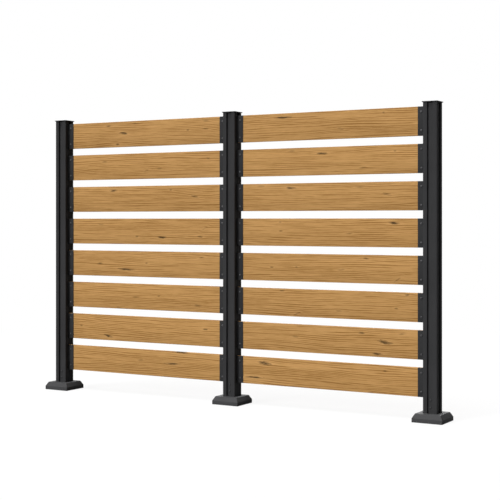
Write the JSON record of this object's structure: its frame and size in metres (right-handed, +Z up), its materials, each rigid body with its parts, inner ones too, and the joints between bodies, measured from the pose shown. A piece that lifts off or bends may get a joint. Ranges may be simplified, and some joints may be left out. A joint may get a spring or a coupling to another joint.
{
  "type": "garden privacy screen",
  "caption": "Garden privacy screen: spaced horizontal boards held in bracket pockets between slotted square posts with flat caps, on base plates under sliding skirts.",
  "frame": {"origin": "on the ground, under the middle post's axis", "axes": "+X along the screen towards the right post seen from the front, +Y from the front, where the bracket screws show, to the back, +Z up"},
  "size_m": [2.3592, 0.1524, 1.5176],
  "materials": {
    "post_coat": "satin black powder coat on aluminium",
    "bracket_coat": "satin black powder coat on aluminium",
    "mount_steel": "black coated steel",
    "cap_plastic": "matte black moulding",
    "skirt_plastic": "fine-grained black-grey moulding",
    "board_wood": "golden-brown stained softwood with fine grain and small knots"
  },
  "bodies": {
    "screen": {"post_left": "post_coat", "post_middle": "post_coat", "post_right": "post_coat", "post_cap_left": "cap_plastic", "post_cap_middle": "cap_plastic", "post_cap_right": "cap_plastic", "base_mount_left": "mount_steel", "base_mount_middle": "mount_steel", "base_mount_right": "mount_steel", "board_left_1": "board_wood", "board_left_2": "board_wood", "board_left_3": "board_wood", "board_left_4": "board_wood", "board_left_5": "board_wood", "board_left_6": "board_wood", "board_left_7": "board_wood", "board_left_8": "board_wood", "board_right_1": "board_wood", "board_right_2": "board_wood", "board_right_3": "board_wood", "board_right_4": "board_wood", "board_right_5": "board_wood", "board_right_6": "board_wood", "board_right_7": "board_wood", "board_right_8": "board_wood", "bracket_left_post_1": "bracket_coat", "bracket_left_post_2": "bracket_coat", "bracket_left_post_3": "bracket_coat", "bracket_left_post_4": "bracket_coat", "bracket_left_post_5": "bracket_coat", "bracket_left_post_6": "bracket_coat", "bracket_left_post_7": "bracket_coat", "bracket_left_post_8": "bracket_coat", "bracket_middle_post_left_1": "bracket_coat", "bracket_middle_post_left_2": "bracket_coat", "bracket_middle_post_left_3": "bracket_coat", "bracket_middle_post_left_4": "bracket_coat", "bracket_middle_post_left_5": "bracket_coat", "bracket_middle_post_left_6": "bracket_coat", "bracket_middle_post_left_7": "bracket_coat", "bracket_middle_post_left_8": "bracket_coat", "bracket_middle_post_right_1": "bracket_coat", "bracket_middle_post_right_2": "bracket_coat", "bracket_middle_post_right_3": "bracket_coat", "bracket_middle_post_right_4": "bracket_coat", "bracket_middle_post_right_5": "bracket_coat", "bracket_middle_post_right_6": "bracket_coat", "bracket_middle_post_right_7": "bracket_coat", "bracket_middle_post_right_8": "bracket_coat", "bracket_right_post_1": "bracket_coat", "bracket_right_post_2": "bracket_coat", "bracket_right_post_3": "bracket_coat", "bracket_right_post_4": "bracket_coat", "bracket_right_post_5": "bracket_coat", "bracket_right_post_6": "bracket_coat", "bracket_right_post_7": "bracket_coat", "bracket_right_post_8": "bracket_coat"},
    "skirt_left": {"base_skirt_left": "skirt_plastic"},
    "skirt_middle": {"base_skirt_middle": "skirt_plastic"},
    "skirt_right": {"base_skirt_right": "skirt_plastic"}
  },
  "joints": [
    {"name": "skirt_left_slide", "type": "slide", "parent": "screen", "child": "skirt_left", "axis": [0, 0, 1], "range_m": [0, 0.068]},
    {"name": "skirt_middle_slide", "type": "slide", "parent": "screen", "child": "skirt_middle", "axis": [0, 0, 1], "range_m": [0, 0.068]},
    {"name": "skirt_right_slide", "type": "slide", "parent": "screen", "child": "skirt_right", "axis": [0, 0, 1], "range_m": [0, 0.068]}
  ]
}
